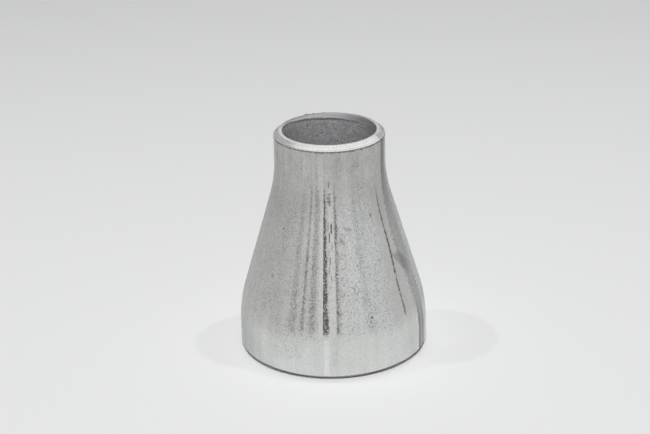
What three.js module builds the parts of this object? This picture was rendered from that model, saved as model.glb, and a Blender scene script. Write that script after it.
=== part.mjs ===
// Butt-weld concentric reducer: one steel shell of revolution that joins a larger pipe to
// a smaller one on the same centre line.
// Millimetres. +Z is the centre line, from the large end to the small end. The origin is
// the centre of the large end's face, so the part stands on the plane z = 0.
import * as THREE from "three";

// Driving dimensions
const LENGTH = 88.9; // end face to end face
const LARGE_END = { diameter: 73.0, wall: 5.16, tangent: 9.9 };
const SMALL_END = { diameter: 42.2, wall: 3.56, tangent: 11.35 };
const SHOULDER_RADIUS = 54; // outside: convex bend, from the large tangent into the cone
const THROAT_RADIUS = 54; // outside: concave bend, from the cone into the small tangent

// Machined ends: a 37.5 degree weld bevel outside, a flat root face, and a short lead-in
// taper turned into the bore
const BEVEL_ANGLE = THREE.MathUtils.degToRad(37.5); // from the end face's plane
const LARGE_MACHINING = { rootFace: 1.4, leadIn: 0.37, leadInLength: 2.0 };
const SMALL_MACHINING = { rootFace: 1.1, leadIn: 0.46, leadInLength: 2.05 };

// Fineness
const SEGMENTS_ROUND = 96;
const STEPS_PER_BEND = 6;

// Points of an S-shaped wall line that leaves `start` along +Z, bends inwards on the
// radius `shoulder`, runs straight down the cone, bends back on the radius `throat`, and
// reaches `end` along +Z again. The cone's angle and length follow from the two ends.
function shoulderedLine(start, end, shoulder, throat) {
  const rise = end.y - start.y;
  const drop = start.x - end.x;
  const bends = shoulder + throat;
  const straight = Math.sqrt(rise ** 2 + (bends - drop) ** 2 - bends ** 2);
  const angle = Math.atan2(rise, bends - drop) - Math.atan2(straight, bends);
  const points = [];
  for (let step = 0; step <= STEPS_PER_BEND; step++) {
    const turn = (angle * step) / STEPS_PER_BEND;
    points.push(
      new THREE.Vector2(
        start.x - shoulder * (1 - Math.cos(turn)),
        start.y + shoulder * Math.sin(turn),
      ),
    );
  }
  for (let step = STEPS_PER_BEND; step >= 0; step--) {
    const turn = (angle * step) / STEPS_PER_BEND;
    points.push(
      new THREE.Vector2(
        end.x + throat * (1 - Math.cos(turn)),
        end.y - throat * Math.sin(turn),
      ),
    );
  }
  return points;
}

// The machined end of the wall, from the bore to the outside, as distances from the end
// face: end of the lead-in taper, root face's two edges, and the bevel's outer edge.
function endCorners(end, machining) {
  const outer = end.diameter / 2;
  const bore = outer - end.wall;
  const rootInner = bore + machining.leadIn;
  const rootOuter = rootInner + machining.rootFace;
  const bevelDepth = (outer - rootOuter) * Math.tan(BEVEL_ANGLE);
  return [
    { radius: bore, depth: machining.leadInLength },
    { radius: rootInner, depth: 0 },
    { radius: rootOuter, depth: 0 },
    { radius: outer, depth: bevelDepth },
  ];
}

// The wall's closed section, x = radius and y = height along the centre line.
function wallSection() {
  const outsideLine = shoulderedLine(
    new THREE.Vector2(LARGE_END.diameter / 2, LARGE_END.tangent),
    new THREE.Vector2(SMALL_END.diameter / 2, LENGTH - SMALL_END.tangent),
    SHOULDER_RADIUS,
    THROAT_RADIUS,
  );
  // The inside bends share the outside bends' centres.
  const insideLine = shoulderedLine(
    new THREE.Vector2(LARGE_END.diameter / 2 - LARGE_END.wall, LARGE_END.tangent),
    new THREE.Vector2(SMALL_END.diameter / 2 - SMALL_END.wall, LENGTH - SMALL_END.tangent),
    SHOULDER_RADIUS - LARGE_END.wall,
    THROAT_RADIUS + SMALL_END.wall,
  );
  const largeFace = endCorners(LARGE_END, LARGE_MACHINING).map(
    ({ radius, depth }) => new THREE.Vector2(radius, depth),
  );
  const smallFace = endCorners(SMALL_END, SMALL_MACHINING).map(
    ({ radius, depth }) => new THREE.Vector2(radius, LENGTH - depth),
  );
  const section = [...largeFace, ...outsideLine, ...smallFace.reverse(), ...insideLine.reverse()];
  section.push(section[0].clone());
  return section;
}

function reducerShell() {
  const geometry = new THREE.LatheGeometry(wallSection(), SEGMENTS_ROUND);
  geometry.rotateX(Math.PI / 2); // the lathe spins about Y; the part's centre line is Z
  const material = new THREE.MeshStandardMaterial({
    color: new THREE.Color(0.56, 0.56, 0.55),
    roughness: 0.42,
    metalness: 1,
  });
  const mesh = new THREE.Mesh(geometry, material);
  mesh.name = "reducer_shell";
  return mesh;
}

const reducer = new THREE.Group();
reducer.add(reducerShell());

export default reducer;
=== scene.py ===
"""The looks of a butt-weld concentric reducer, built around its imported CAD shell.

Lengths are in millimetres until a mesh, light or camera is made, and MM turns them into metres.
Azimuth is in degrees round the centre line: 0 faces the camera (-Y), 90 faces +X.
"""
import math
from typing import NamedTuple

import bpy
import numpy as np
from mathutils import Matrix, Vector, noise


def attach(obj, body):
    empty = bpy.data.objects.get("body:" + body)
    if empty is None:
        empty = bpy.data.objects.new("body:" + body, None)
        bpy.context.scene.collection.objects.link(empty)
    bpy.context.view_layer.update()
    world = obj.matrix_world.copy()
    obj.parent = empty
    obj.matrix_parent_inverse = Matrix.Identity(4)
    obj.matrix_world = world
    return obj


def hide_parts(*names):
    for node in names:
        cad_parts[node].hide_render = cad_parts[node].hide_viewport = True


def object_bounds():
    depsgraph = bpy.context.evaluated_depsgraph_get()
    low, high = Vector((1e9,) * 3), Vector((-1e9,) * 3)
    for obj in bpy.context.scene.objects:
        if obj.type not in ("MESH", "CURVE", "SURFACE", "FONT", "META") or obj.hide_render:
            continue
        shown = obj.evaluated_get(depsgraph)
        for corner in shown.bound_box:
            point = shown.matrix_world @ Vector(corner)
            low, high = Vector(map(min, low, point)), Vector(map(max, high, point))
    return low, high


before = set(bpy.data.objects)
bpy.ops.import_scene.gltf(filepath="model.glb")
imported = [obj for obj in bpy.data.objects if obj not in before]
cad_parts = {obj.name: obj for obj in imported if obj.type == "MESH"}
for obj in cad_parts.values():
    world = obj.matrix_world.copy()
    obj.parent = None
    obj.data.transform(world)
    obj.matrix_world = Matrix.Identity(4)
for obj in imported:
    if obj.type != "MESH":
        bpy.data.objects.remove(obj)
CAD_LOW, CAD_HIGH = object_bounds()

MM = 0.001

# ---------------------------------------------------------------- the shell's dimensions
LENGTH = CAD_HIGH.z / MM
LARGE_RADIUS = CAD_HIGH.x / MM
SMALL_RADIUS = 21.1
LARGE_WALL = 5.16
SMALL_WALL = 3.56
LARGE_TANGENT = 9.9
SMALL_TANGENT = 11.35
SHOULDER_RADIUS = 54.0
THROAT_RADIUS = 54.0
BEVEL_SLOPE = math.tan(math.radians(37.5))
LARGE_ROOT_FACE = 1.4
SMALL_ROOT_FACE = 1.1
LARGE_LEAD_IN = (0.37, 2.0)  # how far it opens the bore, and how deep it goes
SMALL_LEAD_IN = (0.46, 2.05)

LARGE_BORE = LARGE_RADIUS - LARGE_WALL
SMALL_BORE = SMALL_RADIUS - SMALL_WALL
LARGE_MOUTH = LARGE_BORE + LARGE_LEAD_IN[0]
SMALL_MOUTH = SMALL_BORE + SMALL_LEAD_IN[0]
LARGE_BEVEL_HEIGHT = (LARGE_RADIUS - LARGE_MOUTH - LARGE_ROOT_FACE) * BEVEL_SLOPE
SMALL_BEVEL_HEIGHT = (SMALL_RADIUS - SMALL_MOUTH - SMALL_ROOT_FACE) * BEVEL_SLOPE

# ---------------------------------------------------------------- fineness of the mesh
COLUMNS = 424
OUTSIDE_STEP = 0.62
BORE_STEP = 2.2
MACHINED_STEP = 0.36
EDGE_ROUND = 0.10  # the machined edges are broken by this radius
EDGE_STEPS = 2
# Columns crowd round the fine marks: (azimuth, spread, how much closer they stand there).
CROWDED_COLUMNS = [(-5.0, 14.0, 2.0), (51.5, 3.0, 1.8), (70.0, 8.0, 0.8)]

# ---------------------------------------------------------------- unevenness of the drawn wall
# Each one is (lift, width of a cell, height of a cell, seed) for the noise that makes it.
MIDDLE_RADIUS = 24.0
LONG_WAVES = (0.045, 16.0, 26.0, 3.0)
CONE_RIBS = (0.016, 1.5, 30.0, 11.0)
CONE_GRAIN = (0.010, 1.5, 1.8, 19.0)

# ---------------------------------------------------------------- marks left by forming
class Mark(NamedTuple):
    """A lengthwise mark. top and bottom are (height, azimuth, half width in degrees)."""

    top: tuple
    bottom: tuple
    dark: float  # how thickly it is pitted
    depth: float  # how deep it is sunk
    soft_left: float  # how wide its edges fade, as a share of the half width
    soft_right: float


DRAW_MARKS = [
    Mark((75, -6.4, 0.85), (19, -4.8, 1.80), dark=0.86, depth=0.11, soft_left=0.15, soft_right=1.6),
    Mark((75, 3.8, 1.0), (19, 3.4, 1.5), dark=0.58, depth=0.06, soft_left=0.3, soft_right=1.9),
    Mark((74, -13.0, 2.3), (19, -13.6, 2.2), dark=0.34, depth=0.03, soft_left=0.9, soft_right=0.6),
    Mark((75, -18.9, 0.7), (19, -20.0, 1.1), dark=0.44, depth=0.04, soft_left=0.9, soft_right=0.9),
    Mark((75, -26.6, 2.0), (19, -27.0, 2.6), dark=0.31, depth=0.02, soft_left=0.9, soft_right=0.9),
    Mark((66, -42.0, 3.0), (28, -44.0, 4.5), dark=0.12, depth=0.01, soft_left=1.2, soft_right=1.2),
    Mark((52, -17.0, 4.0), (18, -18.0, 10.0), dark=0.09, depth=0.00, soft_left=0.8, soft_right=0.6),
    Mark((70, 22.0, 2.0), (19, 23.0, 3.0), dark=0.21, depth=0.01, soft_left=1.2, soft_right=1.2),
    Mark((25, -33.0, 13.0), (8, -30.0, 10.0), dark=0.10, depth=0.00, soft_left=1.0, soft_right=1.0),
    Mark((20, 0.6, 1.8), (6, 0.6, 1.5), dark=0.12, depth=0.00, soft_left=1.0, soft_right=1.0),
    Mark((70, 98.0, 1.2), (19, 96.0, 2.4), dark=0.30, depth=0.03, soft_left=0.6, soft_right=1.2),
    Mark((73, 124.0, 0.8), (19, 125.5, 1.6), dark=0.44, depth=0.05, soft_left=0.4, soft_right=1.2),
    Mark((66, 133.0, 2.0), (22, 134.0, 3.0), dark=0.22, depth=0.02, soft_left=1.0, soft_right=1.0),
    Mark((71, 163.0, 1.0), (19, 161.5, 2.0), dark=0.34, depth=0.03, soft_left=0.8, soft_right=0.8),
    Mark((69, -171.0, 1.5), (21, -170.0, 2.6), dark=0.24, depth=0.02, soft_left=0.9, soft_right=0.9),
    Mark((73, -146.0, 0.7), (19, -147.5, 1.4), dark=0.50, depth=0.05, soft_left=0.4, soft_right=1.2),
    Mark((68, -118.0, 1.6), (20, -119.0, 2.8), dark=0.26, depth=0.02, soft_left=0.9, soft_right=0.9),
    Mark((70, -88.0, 1.0), (20, -89.5, 1.8), dark=0.32, depth=0.03, soft_left=0.7, soft_right=1.0),
]
# Short dark scores between the main marks: (upper height, lower height, azimuth, half width, dark).
SCORES = [
    (59.8, 56.4, -0.2, 0.75, 0.80),
    (56.7, 53.1, -1.9, 0.60, 0.70),
    (60.5, 57.4, -2.8, 0.40, 0.55),
    (52.8, 50.4, 0.1, 0.40, 0.50),
    (47.8, 45.0, -1.3, 0.60, 0.55),
    (44.2, 41.8, -2.0, 0.45, 0.42),
    (41.0, 38.6, -0.6, 0.45, 0.40),
    (50.4, 48.6, -2.3, 0.40, 0.35),
    (37.6, 36.0, -1.4, 0.40, 0.30),
    (75.4, 72.9, -1.9, 0.80, 0.50),
]
SCORE_DEPTH = 0.05
# Bands that were rubbed smooth and bright: (upper height, lower height, azimuth, half width, light).
BRIGHT_BANDS = [
    (73.0, 19.0, -8.4, 1.2, 0.06),
    (74.0, 18.5, -7.0, 0.4, 0.08),
    (73.0, 19.0, -0.6, 2.4, 0.05),
    (17.5, 2.8, -4.6, 1.6, 0.12),
    (15.0, 3.0, -15.5, 3.4, 0.04),
    (82.0, 72.0, -9.5, 3.2, 0.06),
    (85.0, 76.0, -3.8, 0.9, 0.08),
]
# Small dents: (height, azimuth, half size in millimetres, dark).
SPOTS = [
    (70.6, -1.6, 0.7, 0.45),
    (69.3, -2.0, 0.8, 0.50),
    (67.9, -1.7, 0.8, 0.60),
    (66.7, -1.1, 0.6, 0.45),
    (81.0, 27.0, 1.7, 0.14),
    (81.5, -70.0, 2.0, 0.15),
    (60.8, 38.5, 0.7, 0.45),
    (24.4, 24.8, 0.6, 0.60),
    (22.8, 24.0, 0.4, 0.50),
    (37.6, -48.0, 0.7, 0.35),
    (55.8, -45.2, 0.6, 0.35),
]
# A fine crease on the right flank, which swings to and fro as it climbs.
CREASE_AZIMUTH = 50.9
CREASE_SWING = 0.4
CREASE_WAVE = 26.0
CREASE_CROSSING = 40.0
CREASE_SPAN = (21.0, 69.5)
CREASE_HALF_WIDTH = 0.95
CREASE_DEPTH = 0.06
# Each mouth was turned off the centre of its formed bore, so its lead-in is deep on one side
# and shallow on the other: mean depth, swing, azimuth of the deepest place, least depth.
SMALL_LEAD_IN_DEPTH = (0.72, 1.25, 130.0, 1.20)
LARGE_LEAD_IN_DEPTH = (1.8, 0.6, 100.0, 1.20)
# The small end was cut a little out of square: it's this much lower at the back, and the
# wall takes that up between these heights.
SMALL_END_FALL = 0.5
FALL_SPAN = (76.0, 87.0)
# The dark track: a dull band along the right flank, from edge to edge, with a nick in the
# bevel where it ends and a rub mark that leads into it: (height, azimuth) of its two ends.
TRACK_EDGES = (64.8, 74.4)
TRACK_DEPTH = 0.03
TRACK_NICK = (66.5, 1.3, 0.30)  # azimuth, half width in degrees, depth
TRACK_DRIFT = (6.0, 50.0, 16.0)  # how many degrees its near edge bulges, the height of that, its spread
RUB_MARK = ((43.3, 53.5), (37.2, 68.5))
RUB_HALF_WIDTHS = (1.2, 4.0)  # at its thin end and where it's full
# Burrs stand on the rim of the small end between these azimuths, behind the mouth.
BURRED_RIM = (176.0, 224.0)
BURR_HEIGHT = 0.45

# ---------------------------------------------------------------- zones of the skin
# Heights where each change of the skin starts and where it is complete
CONE_FOOT = (13.5, 22.5)
CONE_HEAD = (60.0, 80.0)
COLLAR_TOP = (14.0, 22.0)
NECK_DARKENING = (50.0, 80.0)
# The same in degrees of azimuth, for the side of the cone that looks cooler
COOL_SIDE_START = (-4.0, 14.0)
COOL_SIDE_END = (150.0, 178.0)
# Painted shade: the collar is darker round one azimuth, in place of the shaded floor it mirrors there,
# and that fades between these distances from it.
PAINTED_DARK_FLANK_AZIMUTH = -100.0
PAINTED_DARK_FLANK_FADE = (20.0, 66.0)
# Between the crease and the dark track, from edge to edge, the skin has hardly any pits.
SMOOTH_FLANK = (42.0, 65.0)


# ================================================================ mesh of the shell
def cone_angle(start, end, shoulder, throat):
    """Angle of the straight cone between two bends that join it to the collars."""
    rise = end[1] - start[1]
    drop = start[0] - end[0]
    bends = shoulder + throat
    straight = math.sqrt(rise**2 + (bends - drop) ** 2 - bends**2)
    return math.atan2(rise, bends - drop) - math.atan2(straight, bends)


def spaced(count):
    return np.linspace(0.0, 1.0, count + 1)


def straight_line(start, end, step):
    start = np.array(start, float)
    end = np.array(end, float)
    count = max(1, round(float(np.linalg.norm(end - start)) / step))
    return [tuple(start + (end - start) * t) for t in spaced(count)]


def shouldered_line(start, end, shoulder, throat, step):
    """The same wall line as the CAD shell's: bend in, straight cone, bend back."""
    angle = cone_angle(start, end, shoulder, throat)
    shoulder_steps = max(4, round(shoulder * angle / step))
    throat_steps = max(4, round(throat * angle / step))
    points = []
    for t in spaced(shoulder_steps):
        turn = angle * t
        points.append(
            (start[0] - shoulder * (1 - math.cos(turn)), start[1] + shoulder * math.sin(turn))
        )
    cone_end = (
        end[0] + throat * (1 - math.cos(angle)),
        end[1] - throat * math.sin(angle),
    )
    points += straight_line(points[-1], cone_end, step)[1:-1]
    for t in spaced(throat_steps):
        turn = angle * (1 - t)
        points.append((end[0] + throat * (1 - math.cos(turn)), end[1] - throat * math.sin(turn)))
    return points


def rounded_corner(before, corner, after, radius):
    """Points of a small arc that breaks the corner, from the side of `before` to `after`."""
    before, corner, after = (np.array(p, float) for p in (before, corner, after))
    into = (before - corner) / np.linalg.norm(before - corner)
    out = (after - corner) / np.linalg.norm(after - corner)
    half = math.acos(float(np.clip(into @ out, -1, 1))) / 2
    reach = radius / math.tan(half)
    bisector = (into + out) / np.linalg.norm(into + out)
    centre = corner + bisector * radius / math.sin(half)
    first = corner + into * reach - centre
    last = corner + out * reach - centre
    turn = math.acos(float(np.clip(first @ last, -radius**2, radius**2)) / radius**2)
    points = []
    for t in spaced(EDGE_STEPS):
        blend = (math.sin((1 - t) * turn) * first + math.sin(t * turn) * last) / math.sin(turn)
        points.append(tuple(centre + blend))
    return points


SKIN, MACHINED, BORE = 0, 1, 2  # finishes, numbered as the mesh's materials


def section_rows():
    """The wall's closed section as rows (radius, height), with the finish of each step.

    It runs from the large end's root face outwards, up the outside, over the small end and
    down the bore. finish[i] belongs to the strip between row i and row i + 1.
    """
    large_root_in = (LARGE_MOUTH, 0.0)
    large_root_out = (LARGE_MOUTH + LARGE_ROOT_FACE, 0.0)
    large_edge = (LARGE_RADIUS, LARGE_BEVEL_HEIGHT)
    small_root_in = (SMALL_MOUTH, LENGTH)
    small_root_out = (SMALL_MOUTH + SMALL_ROOT_FACE, LENGTH)
    small_edge = (SMALL_RADIUS, LENGTH - SMALL_BEVEL_HEIGHT)
    small_lead_end = (SMALL_BORE, LENGTH - SMALL_LEAD_IN[1])
    large_lead_end = (LARGE_BORE, LARGE_LEAD_IN[1])
    outside = shouldered_line(
        (LARGE_RADIUS, LARGE_TANGENT),
        (SMALL_RADIUS, LENGTH - SMALL_TANGENT),
        SHOULDER_RADIUS,
        THROAT_RADIUS,
        OUTSIDE_STEP,
    )
    bore = shouldered_line(
        (LARGE_BORE, LARGE_TANGENT),
        (SMALL_BORE, LENGTH - SMALL_TANGENT),
        SHOULDER_RADIUS - LARGE_WALL,
        THROAT_RADIUS + SMALL_WALL,
        BORE_STEP,
    )[::-1]
    corners = [
        (large_lead_end, large_root_in, large_root_out),
        (large_root_in, large_root_out, large_edge),
        (large_root_out, large_edge, outside[0]),
        (outside[-1], small_edge, small_root_out),
        (small_edge, small_root_out, small_root_in),
        (small_root_out, small_root_in, small_lead_end),
    ]
    arcs = [rounded_corner(*corner, EDGE_ROUND) for corner in corners]
    stretches = [
        (arcs[0], MACHINED),
        (straight_line(arcs[0][-1], arcs[1][0], MACHINED_STEP), MACHINED),
        (arcs[1], MACHINED),
        (straight_line(arcs[1][-1], arcs[2][0], MACHINED_STEP), MACHINED),
        (arcs[2], MACHINED),
        (straight_line(arcs[2][-1], outside[0], OUTSIDE_STEP), SKIN),
        (outside, SKIN),
        (straight_line(outside[-1], arcs[3][0], OUTSIDE_STEP), SKIN),
        (arcs[3], MACHINED),
        (straight_line(arcs[3][-1], arcs[4][0], MACHINED_STEP), MACHINED),
        (arcs[4], MACHINED),
        (straight_line(arcs[4][-1], arcs[5][0], MACHINED_STEP), MACHINED),
        (arcs[5], MACHINED),
        (straight_line(arcs[5][-1], small_lead_end, MACHINED_STEP), BORE),
        (straight_line(small_lead_end, bore[0], BORE_STEP), BORE),
        (bore, BORE),
        (straight_line(bore[-1], large_lead_end, BORE_STEP), BORE),
        (straight_line(large_lead_end, arcs[0][0], MACHINED_STEP), BORE),
    ]
    rows = []
    finish = []
    for points, zone in stretches:
        rows += points[:-1]
        finish += [zone] * (len(points) - 1)
    return np.array(rows), np.array(finish)


def column_azimuths():
    """Azimuths of the columns of vertices. They crowd where the forming marks are fine."""
    fine = np.linspace(-180.0, 180.0, 7201)
    density = np.ones_like(fine)
    for place, spread, closer in CROWDED_COLUMNS:
        density += closer * np.exp(-(((fine - place) / spread) ** 2))
    share = np.concatenate([[0.0], np.cumsum((density[1:] + density[:-1]) / 2)])
    share /= share[-1]
    return np.interp(np.arange(COLUMNS) / COLUMNS, share, fine)


def soft_step(x, low, high):
    t = np.clip((x - low) / (high - low), 0.0, 1.0)
    return t * t * (3 - 2 * t)


def noise_field(azimuth, height, radius, across, along, seed):
    """Smooth noise in about -1 to 1 on the wall, with a cell of across x along millimetres."""
    turn = np.radians(azimuth)
    points = np.stack(
        [radius * np.sin(turn) / across, -radius * np.cos(turn) / across, height / along + seed],
        axis=-1,
    )
    flat = points.reshape(-1, 3)
    values = np.array([noise.noise(Vector(p)) for p in flat])
    return values.reshape(points.shape[:-1])


def mark_shape(mark, azimuth, height):
    """How much of the mark is at each point, from 0 to 1."""
    high, high_azimuth, high_half = mark.top
    low, low_azimuth, low_half = mark.bottom
    along = np.clip((height - low) / (high - low), 0, 1)
    half = low_half + (high_half - low_half) * along
    off = (azimuth - low_azimuth - (high_azimuth - low_azimuth) * along) / half
    left = soft_step(off, -1 - mark.soft_left / 2, -1 + mark.soft_left / 2)
    right = 1 - soft_step(off, 1 - mark.soft_right / 2, 1 + mark.soft_right / 2)
    ends = soft_step(height, low - 1.5, low + 1.5) * (1 - soft_step(height, high - 6, high + 1))
    return left * right * ends


def score_shape(score, azimuth, height):
    """How much of the short score is at each point."""
    high, low, place, half, _ = score
    across = 1 - soft_step(np.abs(azimuth - place), half * 0.4, half * 1.2)
    lower_end = soft_step(height, low - 0.4, low + 0.4)
    upper_end = 1 - soft_step(height, high - 0.4, high + 0.4)
    return across * lower_end * upper_end


def track_drift(height):
    """How many degrees the near edge of the seam track bulges at this height."""
    degrees, centre, spread = TRACK_DRIFT
    return degrees * np.exp(-(((height - centre) / spread) ** 2))


def crease_azimuth(height):
    turn = 2 * np.pi * (height - CREASE_CROSSING) / CREASE_WAVE
    return CREASE_AZIMUTH + CREASE_SWING * np.sin(turn)


def crease_shape(azimuth, height):
    """How much of the crease is at each point."""
    low, high = CREASE_SPAN
    off = np.abs(azimuth - crease_azimuth(height))
    across = 1 - soft_step(off, CREASE_HALF_WIDTH * 0.3, CREASE_HALF_WIDTH * 1.2)
    return across * soft_step(height, low - 1, low + 1) * (1 - soft_step(height, high - 1, high + 1))


def lead_in_depth(azimuth, setting):
    """How deep a mouth's off-centre lead-in goes at this azimuth."""
    mean, swing, deepest, least = setting
    return np.maximum(mean + swing * np.cos(np.radians(azimuth - deepest)), least)


def unevenness(setting, azimuth, height):
    lift, across, along, seed = setting
    return lift * noise_field(azimuth, height, MIDDLE_RADIUS, across, along, seed)


def skin_lift(azimuth, height):
    """How far the drawn skin stands out: waves all over, ribs on the cone, and sunk marks."""
    on_cone = soft_step(height, 15.0, 24.0) * (1 - soft_step(height, 64.0, 76.0))
    lift = unevenness(LONG_WAVES, azimuth, height)
    lift += on_cone * unevenness(CONE_RIBS, azimuth, height)
    lift += on_cone * unevenness(CONE_GRAIN, azimuth, height)
    for mark in DRAW_MARKS:
        lift -= mark.depth * mark_shape(mark, azimuth, height)
    for score in SCORES:
        lift -= SCORE_DEPTH * score_shape(score, azimuth, height)
    lift -= CREASE_DEPTH * crease_shape(azimuth, height)
    first, last = TRACK_EDGES
    near_side = soft_step(azimuth + track_drift(height), first - 0.4, first + 0.4)
    lift -= TRACK_DEPTH * near_side * (1 - soft_step(azimuth, last - 0.4, last + 0.4))
    clear_of_ends = soft_step(height, 2.6, 6.0) * (1 - soft_step(height, 83.0, 87.0))
    return lift * clear_of_ends


def rim_lift(azimuth, height, radius):
    """Burrs and nicks that the lathe tool left along the sharp edges of the small end."""
    from_bevel = (height - (LENGTH - SMALL_BEVEL_HEIGHT)) / 0.30
    near_edge = np.exp(-(from_bevel**2)) * (radius > SMALL_RADIUS - 0.5)
    near_edge += np.exp(-(((height - LENGTH) / 0.12) ** 2)) * (radius > SMALL_BORE + 1.2) * 0.6
    lift = 0.11 * near_edge * noise_field(azimuth, height, SMALL_RADIUS, 0.9, 4.0, 27.0)
    place, half, depth = TRACK_NICK
    lift -= depth * near_edge * np.clip(1 - np.abs(azimuth - place) / half, 0, 1)

    rim_edge = np.exp(-(((height - LENGTH) / 0.2) ** 2)) * (radius > SMALL_MOUTH + 0.8)
    first, last = BURRED_RIM
    round_rim = azimuth % 360
    behind = soft_step(round_rim, first, first + 6) * (1 - soft_step(round_rim, last - 6, last))
    burrs = noise_field(azimuth, height, SMALL_RADIUS, 1.3, 8.0, 41.0) * 2.2 - 0.2
    return lift + BURR_HEIGHT * rim_edge * behind * np.clip(burrs, 0, 1)


def lead_in_shift(azimuth, height, radius):
    """How far points of the bore rise, so that it follows the off-centre lead-ins."""
    in_bore = radius < np.where(height > LENGTH / 2, SMALL_MOUTH, LARGE_MOUTH)
    small_shift = lead_in_depth(azimuth, SMALL_LEAD_IN_DEPTH) - SMALL_LEAD_IN[1]
    large_shift = lead_in_depth(azimuth, LARGE_LEAD_IN_DEPTH) - LARGE_LEAD_IN[1]
    sunk = small_shift * np.interp(LENGTH - height, [0, SMALL_LEAD_IN[1], 10], [0, 1, 0])
    raised = large_shift * np.interp(height, [0, LARGE_LEAD_IN[1], 10], [0, 1, 0])
    return in_bore * (raised - sunk)


def ring_faces(row_count):
    """Quads between each row and the next, closed round the section and round the shell."""
    faces = []
    for row in range(row_count):
        here = row * COLUMNS
        above = (row + 1) % row_count * COLUMNS
        for column in range(COLUMNS):
            beside = (column + 1) % COLUMNS
            faces.append((here + column, here + beside, above + beside, above + column))
    return faces


def shell_mesh():
    rows, finish = section_rows()
    azimuth, radius = np.meshgrid(column_azimuths(), rows[:, 0])
    height = np.broadcast_to(rows[:, 1][:, None], azimuth.shape)
    tangent = np.roll(rows, -1, axis=0) - np.roll(rows, 1, axis=0)
    tangent /= np.linalg.norm(tangent, axis=1)[:, None]
    on_skin = ((finish == SKIN) | (np.roll(finish, 1) == SKIN))[:, None]

    lift = on_skin * skin_lift(azimuth, height) + rim_lift(azimuth, height, radius)
    turn = np.radians(azimuth)
    fall = SMALL_END_FALL * soft_step(height, *FALL_SPAN) * (1 - np.cos(turn)) / 2
    moved_radius = radius + lift * tangent[:, 1][:, None]
    moved_height = height - lift * tangent[:, 0][:, None] - fall
    moved_height = moved_height + lead_in_shift(azimuth, height, radius)
    vertices = np.stack(
        [moved_radius * np.sin(turn), -moved_radius * np.cos(turn), moved_height], axis=-1
    ).reshape(-1, 3)

    mesh = bpy.data.meshes.new("reducer")
    mesh.from_pydata((vertices * MM).tolist(), [], ring_faces(len(rows)))
    mesh.polygons.foreach_set("material_index", np.repeat(finish, COLUMNS).astype(np.int32))
    mesh.polygons.foreach_set("use_smooth", [True] * len(mesh.polygons))
    mesh.update()
    return mesh


# ================================================================ shader arithmetic
def feed(tree, value, socket):
    """Put a number or a field into a node's input."""
    if isinstance(value, Field):
        tree.links.new(value.socket, socket)
    else:
        socket.default_value = value


class Field:
    """A value in a shader node tree, so that node arithmetic reads as a formula."""

    def __init__(self, tree, socket):
        self.tree = tree
        self.socket = socket

    def op(self, operation, *others, clamp=False):
        node = self.tree.nodes.new("ShaderNodeMath")
        node.operation = operation
        node.use_clamp = clamp
        for index, value in enumerate((self, *others)):
            feed(self.tree, value, node.inputs[index])
        return Field(self.tree, node.outputs[0])

    def __add__(self, other):
        return self.op("ADD", other)

    __radd__ = __add__

    def __mul__(self, other):
        return self.op("MULTIPLY", other)

    def __sub__(self, other):
        return self.op("SUBTRACT", other)

    def __rsub__(self, other):
        return self.op("MULTIPLY", -1.0) + other

    def __truediv__(self, other):
        return self.op("DIVIDE", other)

    def abs(self):
        return self.op("ABSOLUTE")

    def least(self, other):
        return self.op("MINIMUM", other)

    def most(self, other):
        return self.op("MAXIMUM", other)

    def clamped(self):
        return self.op("ADD", 0.0, clamp=True)

    def step(self, low, high):
        """Smooth step from 0 at low to 1 at high, where each may be a number or a field."""
        node = self.tree.nodes.new("ShaderNodeMapRange")
        node.interpolation_type = "SMOOTHSTEP"
        feed(self.tree, self, node.inputs["Value"])
        feed(self.tree, low, node.inputs["From Min"])
        feed(self.tree, high, node.inputs["From Max"])
        return Field(self.tree, node.outputs["Result"])


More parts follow.
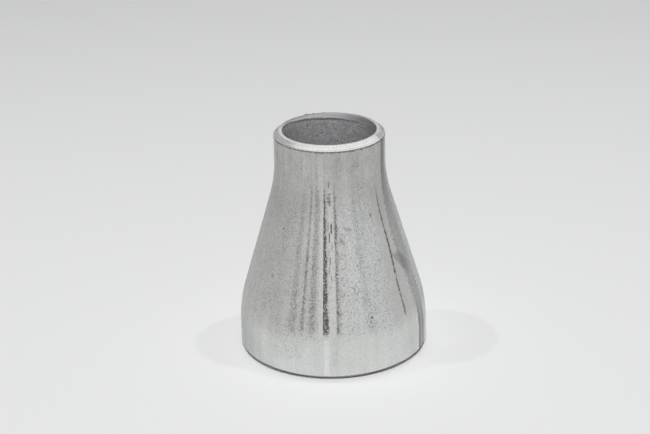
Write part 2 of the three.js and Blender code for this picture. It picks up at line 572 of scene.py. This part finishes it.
class Wall:
    """Places on the wall as fields, in millimetres and degrees, and noise that follows it."""

    def __init__(self, tree):
        self.tree = tree
        place = tree.nodes.new("ShaderNodeTexCoord")
        scaled = tree.nodes.new("ShaderNodeVectorMath")
        scaled.operation = "SCALE"
        scaled.inputs["Scale"].default_value = 1 / MM
        tree.links.new(place.outputs["Object"], scaled.inputs[0])
        split = tree.nodes.new("ShaderNodeSeparateXYZ")
        tree.links.new(scaled.outputs[0], split.inputs[0])
        self.x = Field(tree, split.outputs["X"])
        self.y = Field(tree, split.outputs["Y"])
        self.radius = (self.x * self.x + self.y * self.y).op("SQRT")
        # Heights are counted as if the small end had been cut square.
        level = Field(tree, split.outputs["Z"])
        behind = (self.y / self.radius + 1.0) * 0.5
        self.height = level + level.step(*FALL_SPAN) * behind * SMALL_END_FALL
        self.azimuth = self.x.op("ARCTAN2", self.y * -1.0) * (180 / math.pi)

    def vector(self, x, y, z):
        node = self.tree.nodes.new("ShaderNodeCombineXYZ")
        for axis, value in zip("XYZ", (x, y, z)):
            feed(self.tree, value, node.inputs[axis])
        return node.outputs[0]

    def noise(self, vector, detail=2.0, roughness=0.5):
        """Noise from 0 to 1 with one cell per unit of the vector."""
        node = self.tree.nodes.new("ShaderNodeTexNoise")
        node.inputs["Scale"].default_value = 1.0
        node.inputs["Detail"].default_value = detail
        node.inputs["Roughness"].default_value = roughness
        self.tree.links.new(vector, node.inputs["Vector"])
        return Field(self.tree, node.outputs[0])

    def grain(self, size, seed=0.0, stretch=1.0, **options):
        """Noise whose grains are about `size` millimetres, and `stretch` times as tall."""
        moved = self.vector(self.x / size + seed, self.y / size, self.height / (size * stretch))
        return self.noise(moved, **options)

    def drawn(self, across, along, seed=0.0, **options):
        """Noise drawn out along the wall: grains `across` wide and `along` long."""
        grains = 28.0 / across  # they are `across` wide where the radius is 28
        moved = self.vector(
            self.x / self.radius * grains + seed,
            self.y / self.radius * grains,
            self.height / along,
        )
        return self.noise(moved, **options)

    def turned(self, pitch, seed=0.0, **options):
        """Noise in rings round the centre line, as a lathe tool leaves it."""
        moved = self.vector(
            self.radius / pitch + self.x / self.radius + seed,
            self.height / pitch,
            self.y / self.radius,
        )
        return self.noise(moved, **options)


def steel(name):
    """A new metal material with its node tree, wall fields and shader."""
    material = bpy.data.materials.new(name)
    material.use_nodes = True
    tree = material.node_tree
    shader = tree.nodes["Principled BSDF"]
    shader.inputs["Metallic"].default_value = 1.0
    shader.inputs["Specular Tint"].default_value = (0.8, 0.8, 0.8, 1.0)
    return material, tree, shader, Wall(tree)


def tint(tree, shader, shade, colour, second=None, share=None):
    """Base colour: the steel's own colour, or a mix of two, times a shade field."""
    node = tree.nodes.new("ShaderNodeVectorMath")
    node.operation = "SCALE"
    node.inputs[0].default_value = colour
    if second:
        mixed = tree.nodes.new("ShaderNodeMix")
        mixed.data_type = "VECTOR"
        mixed.inputs["A"].default_value = colour
        mixed.inputs["B"].default_value = second
        tree.links.new(share.socket, mixed.inputs["Factor"])
        tree.links.new(mixed.outputs["Result"], node.inputs[0])
    tree.links.new(shade.socket, node.inputs["Scale"])
    tree.links.new(node.outputs[0], shader.inputs["Base Color"])


def bump(tree, shader, height, relief):
    """Relief in millimetres where the height field goes from 0 to 1."""
    node = tree.nodes.new("ShaderNodeBump")
    node.inputs["Strength"].default_value = 1.0
    node.inputs["Distance"].default_value = relief * MM
    tree.links.new(height.socket, node.inputs["Height"])
    tree.links.new(node.outputs["Normal"], shader.inputs["Normal"])


def between(value, low, high, soft):
    """1 where the field lies between low and high, with edges `soft` wide."""
    above_low = value.step(low - soft / 2, low + soft / 2)
    above_high = value.step(high - soft / 2, high + soft / 2)
    return above_low * (1.0 - above_high)


def mark_field(wall, mark, ragged):
    """The shader's version of mark_shape, with a wavering right edge and ragged ends."""
    high, high_azimuth, high_half = mark.top
    low, low_azimuth, low_half = mark.bottom
    along = ((wall.height - low) / (high - low)).clamped()
    half = along * (high_half - low_half) + low_half
    off = (wall.azimuth - (along * (high_azimuth - low_azimuth) + low_azimuth)) / half
    left = mark.soft_left / 2
    right = mark.soft_right / 2
    wavering = off + (wall.grain(1.5, 61.0, stretch=2.0) - 0.5) * mark.soft_right * 1.6
    across = off.step(-1 - left, -1 + left) * (1.0 - wavering.step(1 - right, 1 + right))
    height = wall.height + (ragged - 0.5) * 6.0
    return across * height.step(low - 1.5, low + 2.0) * (1.0 - height.step(high - 6, high + 1))


def scores_field(wall, ragged):
    """All the short scores, each as dark as it is deep."""
    total = None
    for high, low, place, half, dark in SCORES:
        off = (wall.azimuth - place + (ragged - 0.5) * half * 1.5).abs()
        one = (1.0 - off.step(half * 0.4, half * 1.3)) * between(wall.height, low, high, 1.0) * dark
        total = one if total is None else total + one
    return total


def rub_field(wall, ragged):
    """The rub mark: a soft slanting bar, thin at its upper end."""
    (high, first), (low, last) = RUB_MARK
    slope = (low - high) / (last - first)
    off = (wall.height - high - (wall.azimuth - first) * slope + (ragged - 0.5) * 2.0).abs()
    thin, full = RUB_HALF_WIDTHS
    half = wall.azimuth.step(first, first + 8.0) * (full - thin) + thin
    return (1.0 - off.step(half * 0.4, half * 1.3)) * between(wall.azimuth, first, last, 5.0)


def spots_field(wall, ragged):
    """All the small dents."""
    total = None
    for height, azimuth, size, dark in SPOTS:
        arc = (wall.azimuth - azimuth) * wall.radius * (math.pi / 180)
        rise = wall.height - height
        away = (arc * arc + rise * rise).op("SQRT") + (ragged - 0.5) * size * 2.0
        one = (1.0 - away.step(size * 0.5, size * 1.1)) * dark
        total = one if total is None else total + one
    return total


def bands_field(wall, ragged):
    """The bright rubbed bands, each as light as it is rubbed."""
    total = None
    for high, low, place, half, light in BRIGHT_BANDS:
        off = (wall.azimuth - place).abs() + (ragged - 0.5) * half * 0.6
        one = (1.0 - off.step(half * 0.7, half * 1.2)) * between(wall.height, low, high, 5.0) * light
        total = one if total is None else total + one
    return total


def painted_crease_shade(wall):
    """Painted shade along the crease, broken into dashes by noise along it."""
    low, high = CREASE_SPAN
    swing = ((wall.height - CREASE_CROSSING) * (2 * math.pi / CREASE_WAVE)).op("SINE") * CREASE_SWING
    wobble = wall.grain(1.1, 31.0) - 0.5
    off = (wall.azimuth - (swing + CREASE_AZIMUTH + wobble * 1.8)).abs()
    half = (wall.grain(0.9, 33.0) * 1.6 + 0.2) * CREASE_HALF_WIDTH
    across = 1.0 - off.step(half * 0.5, half * 1.3)
    dashes = wall.grain(1.3, 37.0, stretch=1.3).step(0.28, 0.46)
    fading = between(wall.height, 34.0, 58.0, 14.0) * 0.30 + 0.70
    return across * between(wall.height, low, high, 2.0) * dashes * fading


def scratches_field(wall):
    """Short curved scratches: thin contour lines of one noise, kept where another is high."""
    contour = 1.0 - (wall.grain(5.0, 51.0, detail=1.0) - 0.5).abs().step(0.008, 0.035)
    kept = wall.grain(2.6, 57.0, detail=1.0).step(0.49, 0.57)
    place = between(wall.azimuth, 6, 20, 6) * between(wall.height, 32, 58, 8)
    return contour * kept * place


def track_field(wall, cone, ragged):
    """The lengthwise dark track: sharp and dark on the collars, broken up on the cone."""
    first, last = TRACK_EDGES
    degrees, centre, spread = TRACK_DRIFT
    off_centre = (wall.height - centre) / spread
    drift = (off_centre * off_centre * -1.0).op("EXPONENT") * degrees
    azimuth = wall.azimuth + (cone * 16.0 + 1.6) * (ragged - 0.5)
    near_side = azimuth + drift
    band = near_side.step(first - 0.7, first + 0.7) * (1.0 - azimuth.step(last - 0.7, last + 0.7))
    core = 1.0 - near_side.step(first + 1.0, first + 4.0)
    outer = between(azimuth, first + 6.0, first + 8.5, 2.0)
    worn = wall.drawn(1.6, 24.0, 71.0, detail=3.0)
    return band * (core * 0.20 + outer * 0.10 + 0.25 + worn * 0.34) * (1.0 - cone * 0.50)


def skin_marks(wall, ragged, bands):
    """All the lengthwise marks as one density of pits, below 0 on the rubbed bands."""
    marks = bands * -2.5
    for mark in DRAW_MARKS:
        marks = marks + mark_field(wall, mark, ragged) * mark.dark
    return marks


def skin_damage(wall, ragged):
    """What the scores, dents, rub mark, painted crease shade and scratches leave of the skin's
    brightness.
    """
    left = 1.0 - scores_field(wall, ragged)
    left = left * (1.0 - spots_field(wall, ragged))
    left = left * (1.0 - rub_field(wall, ragged) * 0.32)
    # Painted shade in the crease.
    left = left * (1.0 - painted_crease_shade(wall) * 0.74)
    return left * (1.0 - scratches_field(wall) * 0.38)


def skin_material():
    """Outside: pickled drawn skin, pitted on the cone and smoother on both collars."""
    material, tree, shader, wall = steel("drawn_skin")
    ragged = wall.grain(1.0, 4.0, detail=3.0, roughness=0.7)
    pits = wall.grain(0.42, 9.0, stretch=1.3, detail=1.0, roughness=0.6)
    blotch = wall.grain(1.8, 13.0, stretch=1.6, detail=2.0, roughness=0.6)
    cloud = wall.grain(9.0, 2.0, detail=3.0)
    drawn = wall.drawn(2.4, 70.0, 5.0, detail=3.0)

    # Zones
    lower_edge = wall.height + (ragged - 0.5) * 2.0 + (cloud - 0.5) * 9.0
    upper_edge = wall.height + (blotch - 0.5) * 8.0 + (cloud - 0.5) * 14.0
    cone = lower_edge.step(*CONE_FOOT) * (1.0 - upper_edge.step(*CONE_HEAD))
    collar = 1.0 - lower_edge.step(*COLLAR_TOP)
    neck = wall.height.step(*NECK_DARKENING)
    # Painted shade on the collar round one azimuth, standing in for a mirrored shaded floor.
    painted_dark_flank = 1.0 - (wall.azimuth - PAINTED_DARK_FLANK_AZIMUTH).abs().step(*PAINTED_DARK_FLANK_FADE)
    smooth_flank = between(wall.azimuth + (blotch - 0.5) * 8.0, *SMOOTH_FLANK, 8.0)

    # Pits: the denser they are, the more of the fine noise lies below the threshold.
    bands = bands_field(wall, ragged)
    marks = skin_marks(wall, ragged, bands)
    cone_density = cone * ((blotch - 0.5) * 0.6 + 0.22) * (1.0 - smooth_flank * 0.85)
    density = (cone_density + marks).most(0.0).least(0.94)
    marks = marks.clamped()
    threshold = density * 0.24 + 0.35
    pitted = 1.0 - pits.step(threshold - 0.03, threshold + 0.03)
    pitted = pitted * density.step(0.0, 0.12)

    # The steel looks a little cooler on the collar and right of the middle.
    cool_side = wall.azimuth.step(*COOL_SIDE_START) * (1.0 - wall.azimuth.step(*COOL_SIDE_END))
    cool_side = cool_side * (1.0 - smooth_flank)
    cool = (collar * 0.7 + cone * (cool_side * 0.8 + 0.1) + (cloud - 0.5) * 0.8).clamped()

    # The collar is painted a little brighter and the neck darker: partly their own skins, partly
    # painted reflection of a floor that is brighter near the base and darker further out.
    shade = 0.99 + collar * 0.05 - neck * 0.24 - collar * painted_dark_flank * 0.20
    shade = shade - smooth_flank * cone * 0.08
    shade = shade + (cloud - 0.5) * 0.12 + (drawn - 0.5) * (0.20 + neck * 0.10)
    shade = shade + (blotch - 0.5) * neck * 0.30
    shade = shade + (pits - 0.5) * (0.48 - cone * 0.16 + cone * cool * 0.36) + bands
    shade = shade * (1.0 - density * 0.16 - marks * 0.14)
    pit_depth = density * density
    shade = shade * (1.0 - pitted * (pit_depth * pit_depth * 0.62 + 0.24))
    shade = shade * skin_damage(wall, ragged)

    # The dark track, with a bright fringe along its near side on the collars
    track = track_field(wall, cone, ragged)
    first = TRACK_EDGES[0]
    fringe = between(wall.azimuth, first - 2.4, first - 0.6, 1.0) * (1.0 - cone)
    shade = shade * (1.0 - track) + fringe * 0.10

    # Painted shadow: a dark ragged line just under the burred outer edge of the small bevel
    edge = LENGTH - SMALL_BEVEL_HEIGHT
    painted_edge_shadow = (wall.height + (ragged - 0.5) * 2.4).step(edge - 0.80, edge - 0.45)
    shade = shade * (1.0 - painted_edge_shadow * 0.55)

    tint(tree, shader, shade, (0.662, 0.66, 0.646), (0.652, 0.664, 0.657), cool)
    roughness = 0.27 + cone * 0.15 + (cloud - 0.5) * 0.08
    roughness = roughness + cone * (blotch - 0.5) * 0.2 + track * 0.12
    tree.links.new(roughness.socket, shader.inputs["Roughness"])
    relief = pitted * -1.0 + cone * pits * 0.8 + blotch * 0.1 + drawn * 0.2
    bump(tree, shader, relief, 0.03)
    return material


def machined_material():
    """Bevels and root faces: bright metal with fine rings left by the lathe tool."""
    material, tree, shader, wall = steel("turned_face")
    rings = wall.turned(0.42, 3.0, detail=3.0, roughness=0.8)
    cloud = wall.grain(3.0, 7.0)
    smears = wall.grain(0.8, 17.0, detail=3.0, roughness=0.8)
    root = (wall.height.step(LENGTH - 0.12, LENGTH - 0.03)).most(1.0 - wall.height.step(0.03, 0.12))
    track = between(wall.azimuth, *TRACK_EDGES, 0.8)
    # A thin dark line along the near edge of the dark track.
    track_edge_line = 1.0 - (wall.azimuth - TRACK_EDGES[0] - 0.8).abs().step(0.3, 1.2)
    dull = 1.0 - (wall.azimuth.abs() - 180.0).abs().step(45.0, 85.0)
    left_rim = between(wall.azimuth, -172.0, -98.0, 12.0)
    shade = 0.96 + (rings - 0.5) * 0.80 + (cloud - 0.5) * 0.10 + (smears - 0.5) * 0.60
    shade = (shade + root * 0.16) * (1.0 - left_rim * root * 0.25)
    shade = shade + between(wall.azimuth, -110.0, -50.0, 24.0) * 0.07
    shade = shade * (1.0 - track * 0.14) * (1.0 - track_edge_line * 0.30)
    shade = shade * (1.0 - dull * root * (smears * 0.4 + 0.25))
    tint(tree, shader, shade, (0.69, 0.69, 0.68))
    roughness = 0.26 + (rings - 0.5) * 0.12 + root * 0.14
    tree.links.new(roughness.socket, shader.inputs["Roughness"])
    bump(tree, shader, rings + smears * 0.5, 0.010)
    return material


def lead_in_field(wall, setting):
    """The shader's version of lead_in_depth. Below zero the tool didn't touch the bore."""
    mean, swing, deepest, _ = setting
    turn = math.radians(deepest)
    facing = (wall.x * math.sin(turn) - wall.y * math.cos(turn)) / wall.radius
    return facing * swing + mean


def bore_material():
    """Inside: dark coarse mill skin, with a turned band where each mouth was opened."""
    material, tree, shader, wall = steel("mill_bore")
    shader.inputs["Metallic"].default_value = 0.30
    coarse = wall.grain(1.9, 1.0, detail=4.0, roughness=0.7)
    fine = wall.grain(0.45, 5.0, detail=1.0)
    wavy = wall.grain(7.0, 8.0)
    small_edge = LENGTH - lead_in_field(wall, SMALL_LEAD_IN_DEPTH)
    large_edge = lead_in_field(wall, LARGE_LEAD_IN_DEPTH)
    shifted = wall.height + (wavy - 0.5) * 0.8 + (coarse - 0.5) * 1.2
    turned = shifted.step(small_edge - 0.15, small_edge + 0.15).most(
        1.0 - shifted.step(large_edge - 0.15, large_edge + 0.15)
    )
    rings = wall.turned(0.42, 3.0, detail=3.0)
    # A dark ragged ring lies in the corner under each turned band, and painted shade darkens the bore
    # further in.
    corner = between(shifted, small_edge - 1.0, small_edge, 0.5).most(
        between(shifted, large_edge, large_edge + 1.0, 0.5)
    )
    painted_depth_shade = between(wall.height, 12.0, LENGTH - 12.0, 20.0)
    rough_shade = 0.56 + (coarse - 0.5) * 0.50 + (fine - 0.5) * 1.10
    deep_side = (wall.x / wall.radius).step(0.1, 0.9)
    under_band_ring = corner * (wavy * 0.5 + 0.25) * (1.0 - deep_side * 0.6)
    # Painted shade: the bore is darker away from both mouths.
    rough_shade = rough_shade * (1.0 - under_band_ring) * (1.0 - painted_depth_shade * 0.2)
    band_shade = (0.63 + (rings - 0.5) * 0.3) * (1.0 - deep_side * (coarse * 0.4 + 0.2))
    shade = rough_shade * (1.0 - turned) + turned * band_shade
    tint(tree, shader, shade, (0.66, 0.655, 0.66), (0.635, 0.645, 0.70), coarse.step(0.45, 0.65))
    roughness = 0.6 - turned * 0.25
    tree.links.new(roughness.socket, shader.inputs["Roughness"])
    bump(tree, shader, (coarse + fine * 0.5) * (1.0 - turned), 0.12)
    return material


def reducer():
    mesh = shell_mesh()
    for material in (skin_material(), machined_material(), bore_material()):
        mesh.materials.append(material)
    piece = bpy.data.objects.new("reducer", mesh)
    bpy.context.scene.collection.objects.link(piece)
    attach(piece, "root")
    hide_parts("reducer_shell")


# ================================================================ studio
def camera():
    """The photo's camera, as it was fitted to the object's outline."""
    data = bpy.data.cameras.new("camera")
    data.sensor_width = 36.0
    data.lens = 95.65
    data.clip_start = 0.01
    data.clip_end = 20.0
    eye = bpy.data.objects.new("camera", data)
    distance = 613.1
    rise = 313.5
    yaw = math.radians(-0.22)
    pitch = math.radians(23.061)
    roll = math.radians(-1.395)
    forward = Vector(
        (math.sin(yaw) * math.cos(pitch), math.cos(yaw) * math.cos(pitch), -math.sin(pitch))
    )
    level = Vector((math.cos(yaw), -math.sin(yaw), 0.0))
    up = level.cross(forward)
    right = math.cos(roll) * level + math.sin(roll) * up
    up = right.cross(forward)
    turn = Matrix((right, up, -forward)).transposed().to_4x4()
    eye.matrix_world = Matrix.Translation((0.0, -distance * MM, rise * MM)) @ turn
    bpy.context.scene.collection.objects.link(eye)
    bpy.context.scene.camera = eye


def flat_material(name, colour, roughness):
    material = bpy.data.materials.new(name)
    material.use_nodes = True
    shader = material.node_tree.nodes["Principled BSDF"]
    shader.inputs["Base Color"].default_value = (*colour, 1.0)
    shader.inputs["Roughness"].default_value = roughness
    return material


def panel(name, corners, material):
    """A flat four-cornered stage piece, corners in millimetres."""
    mesh = bpy.data.meshes.new(name)
    mesh.from_pydata([Vector(c) * MM for c in corners], [], [(0, 1, 2, 3)])
    mesh.materials.append(material)
    made = bpy.data.objects.new(name, mesh)
    bpy.context.scene.collection.objects.link(made)


def stage():
    reach = 4000.0
    panel(
        "floor",
        [(-reach, -reach, 0), (reach, -reach, 0), (reach, reach, 0), (-reach, reach, 0)],
        flat_material("floor_paper", (0.79, 0.80, 0.795), 0.9),
    )


def soft_lamp(name, place, size, power):
    """A round lamp that faces the origin. Metal mirrors the world, and never the lamp."""
    data = bpy.data.lights.new(name, "AREA")
    data.shape = "DISK"
    data.size = size * MM
    data.energy = power
    lamp = bpy.data.objects.new(name, data)
    lamp.location = Vector(place) * MM
    lamp.rotation_euler = (-Vector(place)).to_track_quat("-Z", "Y").to_euler()
    lamp.visible_glossy = False
    bpy.context.scene.collection.objects.link(lamp)


def lights():
    """Lamps light the floor, and the world is what the metal mirrors."""
    world = bpy.data.worlds.new("studio")
    bpy.context.scene.world = world
    world.cycles_visibility.diffuse = False
    world.use_nodes = True
    tree = world.node_tree
    background = tree.nodes["Background"]
    direction = tree.nodes.new("ShaderNodeTexCoord")
    split = tree.nodes.new("ShaderNodeSeparateXYZ")
    tree.links.new(direction.outputs["Generated"], split.inputs[0])
    x, y, z = (Field(tree, split.outputs[axis]) for axis in "XYZ")
    walls = 0.62 + x * 0.10 - y.least(0.0) * 0.24
    softbox_x, softbox_y = 0.20, 0.15
    softbox_z = math.sqrt(1 - softbox_x**2 - softbox_y**2)
    towards_softbox = x * softbox_x + y * softbox_y + z * softbox_z
    glow = walls + towards_softbox.step(0.58, 0.72) * (1.15 - walls)
    background.inputs["Color"].default_value = (1.0, 1.0, 1.0, 1.0)
    tree.links.new(glow.socket, background.inputs["Strength"])
    soft_lamp("front_lamp", (0, -3535, 3535), 600, 225.0)
    soft_lamp("top_lamp", (0, 0, 1000), 400, 1.5)
    soft_lamp("left_lamp", (-340, 0, 800), 26, 0.62)
    soft_lamp("right_lamp", (255, 0, 800), 26, 0.62)


camera()
stage()
lights()
reducer()
bpy.context.scene.view_settings.view_transform = "Standard"
